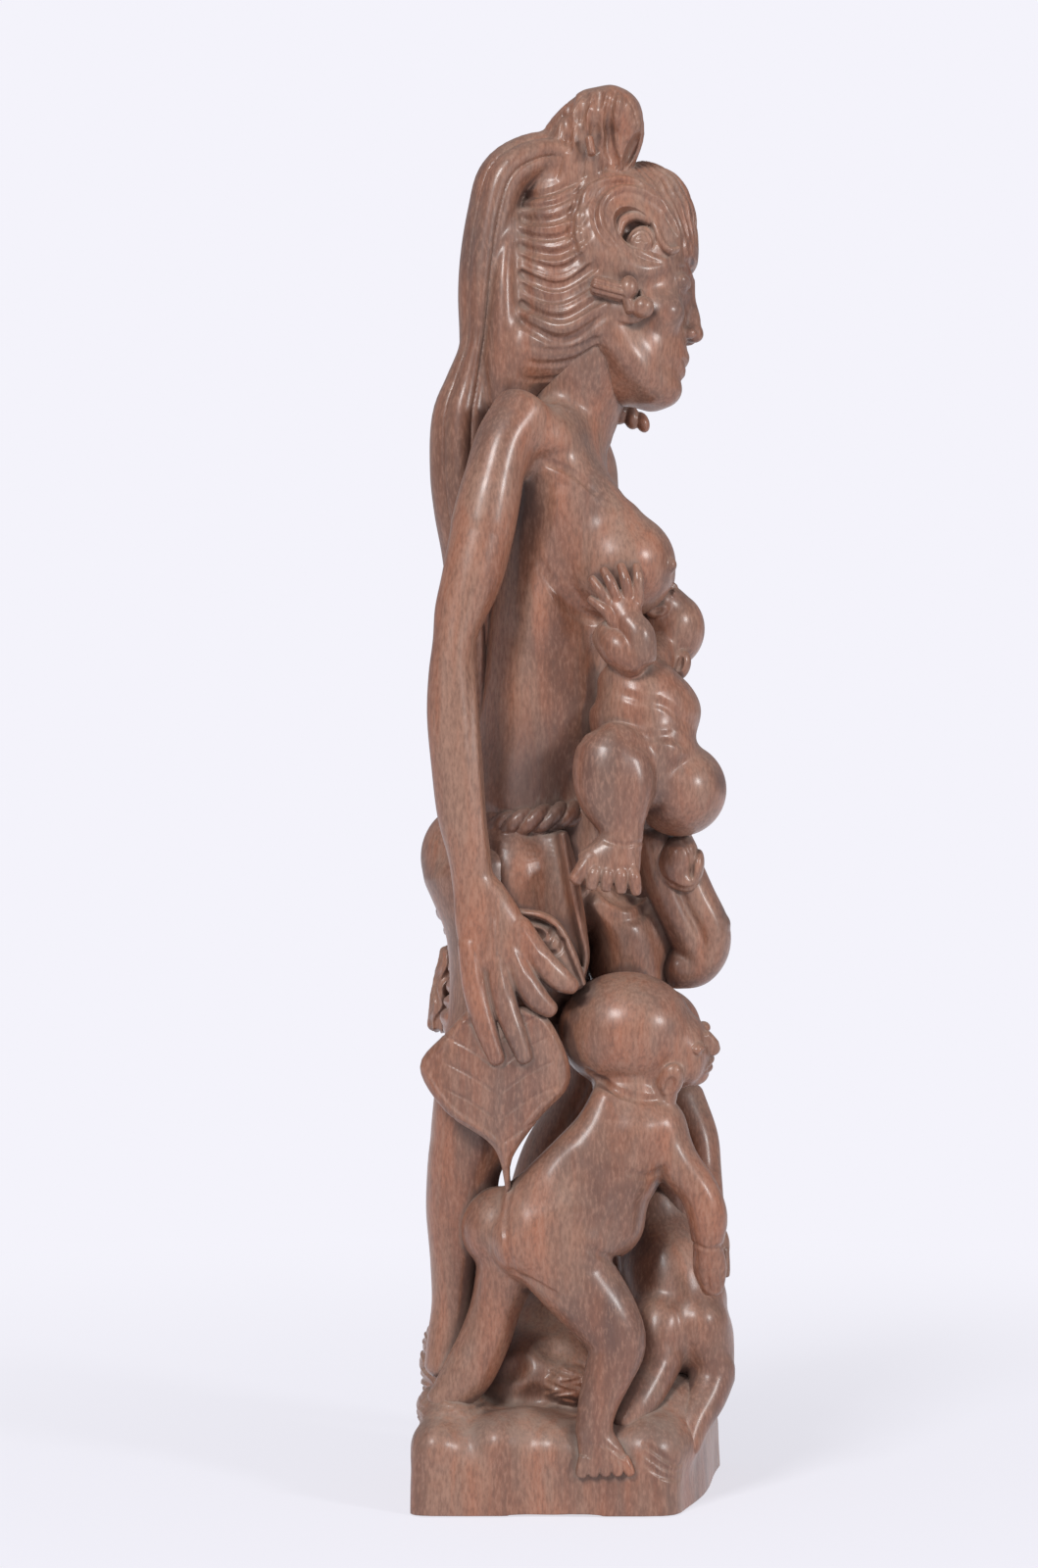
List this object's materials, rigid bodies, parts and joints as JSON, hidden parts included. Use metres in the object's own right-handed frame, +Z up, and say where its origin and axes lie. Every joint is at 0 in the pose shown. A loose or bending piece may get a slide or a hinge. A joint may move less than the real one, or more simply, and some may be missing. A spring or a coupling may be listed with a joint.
{
  "type": "carved hardwood mother and children figure group",
  "caption": "Standing mother carved from one block of hardwood, nursing a child on her hip while more children climb round her legs, on a base of carved rising ground",
  "frame": {"origin": "middle of the flat underside of the base, on the surface that the carving stands on", "axes": "+Z up; the mother faces +X and her left side is +Y"},
  "size_m": [0.1815, 0.1722, 0.7987],
  "materials": {
    "carved_hardwood": "waxed"
  },
  "bodies": {
    "root": {"maternity_carving": "carved_hardwood"}
  },
  "joints": []
}
